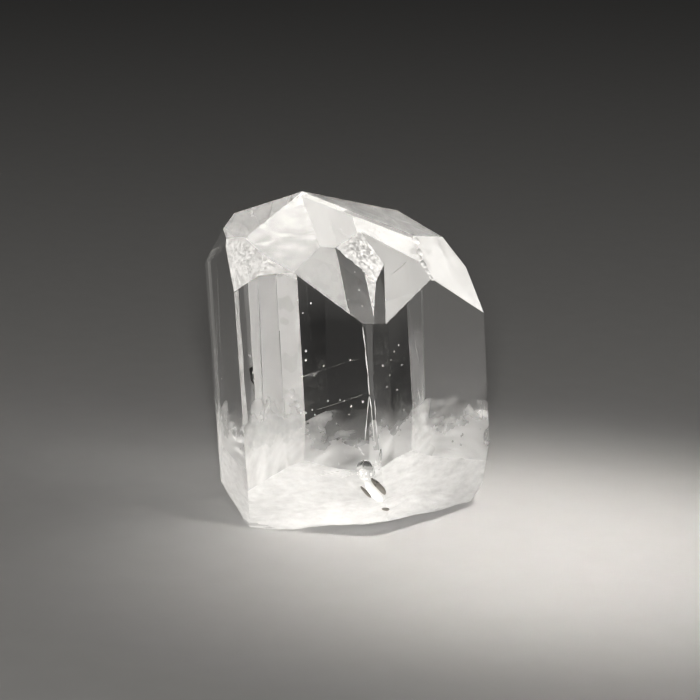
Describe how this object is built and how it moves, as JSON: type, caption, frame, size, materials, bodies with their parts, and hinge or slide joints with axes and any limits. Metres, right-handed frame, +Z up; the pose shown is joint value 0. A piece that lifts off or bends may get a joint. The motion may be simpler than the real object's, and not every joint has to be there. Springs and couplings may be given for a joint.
{
  "type": "phenakite crystal",
  "caption": "Stubby, colourless, see-through six-sided crystal with a many-faceted slanting top, etched and chipped faces and a cloudy broken foot.",
  "frame": {"origin": "middle of the outline, on the resting face", "axes": "+Z up from the broken resting face to the crest, -Y towards the front edge between the two front prism faces, +X to the right seen from the front"},
  "size_m": [0.0086, 0.0078, 0.0096],
  "materials": {
    "crystal": "clear polished crystal faces, frosted where etched or broken"
  },
  "bodies": {
    "root": {"crystal": "crystal"}
  },
  "joints": []
}
